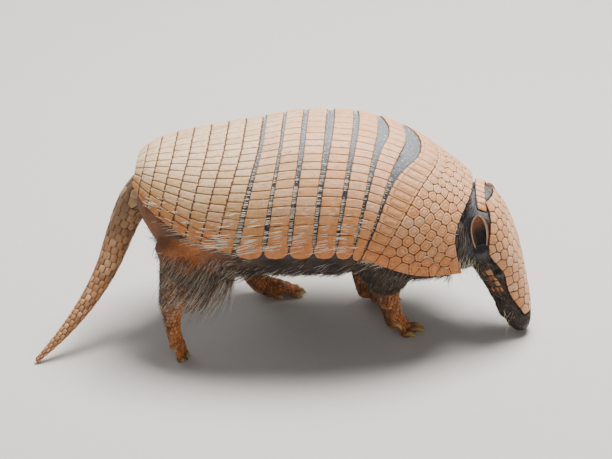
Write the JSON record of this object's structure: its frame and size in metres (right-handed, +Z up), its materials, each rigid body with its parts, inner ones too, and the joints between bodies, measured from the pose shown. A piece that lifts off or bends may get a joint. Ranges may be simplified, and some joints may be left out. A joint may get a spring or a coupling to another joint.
{
  "type": "six-banded armadillo model",
  "caption": "Life-size still model of a six-banded armadillo walking with its nose to the ground: banded shell, plated head, scaled tail, clawed feet.",
  "frame": {"origin": "middle of the bounding box, at the floor that the feet stand on", "axes": "+X towards the head, +Y to the animal's left, +Z up"},
  "size_m": [0.4364, 0.182, 0.1981],
  "materials": {
    "shell_horn": "satin, horny plates over bone",
    "dark_skin": "matte, bare dark skin with sparse hair",
    "leg_skin": "matte, small horny scales",
    "tail_horn": "satin, rings of horny scales",
    "ear_skin": "satin, thin granular skin",
    "claw_horn": "satin, yellowish horn",
    "eye_gloss": "wet gloss, near black"
  },
  "bodies": {
    "root": {"band_1": "shell_horn", "band_2": "shell_horn", "band_3": "shell_horn", "band_4": "shell_horn", "band_5": "shell_horn", "band_6": "shell_horn", "head": "dark_skin", "head_shield": "shell_horn", "left_ear": "ear_skin", "left_eye": "eye_gloss", "left_fore_claw_1": "claw_horn", "left_fore_claw_2": "claw_horn", "left_fore_claw_3": "claw_horn", "left_fore_claw_4": "claw_horn", "left_fore_claw_5": "claw_horn", "left_fore_foot": "leg_skin", "left_forearm": "leg_skin", "left_hind_claw_1": "claw_horn", "left_hind_claw_2": "claw_horn", "left_hind_claw_3": "claw_horn", "left_hind_claw_4": "claw_horn", "left_hind_claw_5": "claw_horn", "left_hind_foot": "leg_skin", "left_shank": "leg_skin", "left_thigh": "dark_skin", "left_upper_arm": "dark_skin", "lower_jaw": "dark_skin", "nape_band": "shell_horn", "neck": "dark_skin", "pelvic_shield": "shell_horn", "right_ear": "ear_skin", "right_eye": "eye_gloss", "right_fore_claw_1": "claw_horn", "right_fore_claw_2": "claw_horn", "right_fore_claw_3": "claw_horn", "right_fore_claw_4": "claw_horn", "right_fore_claw_5": "claw_horn", "right_fore_foot": "leg_skin", "right_forearm": "leg_skin", "right_hind_claw_1": "claw_horn", "right_hind_claw_2": "claw_horn", "right_hind_claw_3": "claw_horn", "right_hind_claw_4": "claw_horn", "right_hind_claw_5": "claw_horn", "right_hind_foot": "leg_skin", "right_shank": "leg_skin", "right_thigh": "dark_skin", "right_upper_arm": "dark_skin", "scapular_shield": "shell_horn", "tail_base": "tail_horn", "tail_middle": "tail_horn", "tail_tip": "tail_horn", "trunk": "dark_skin"}
  },
  "joints": []
}
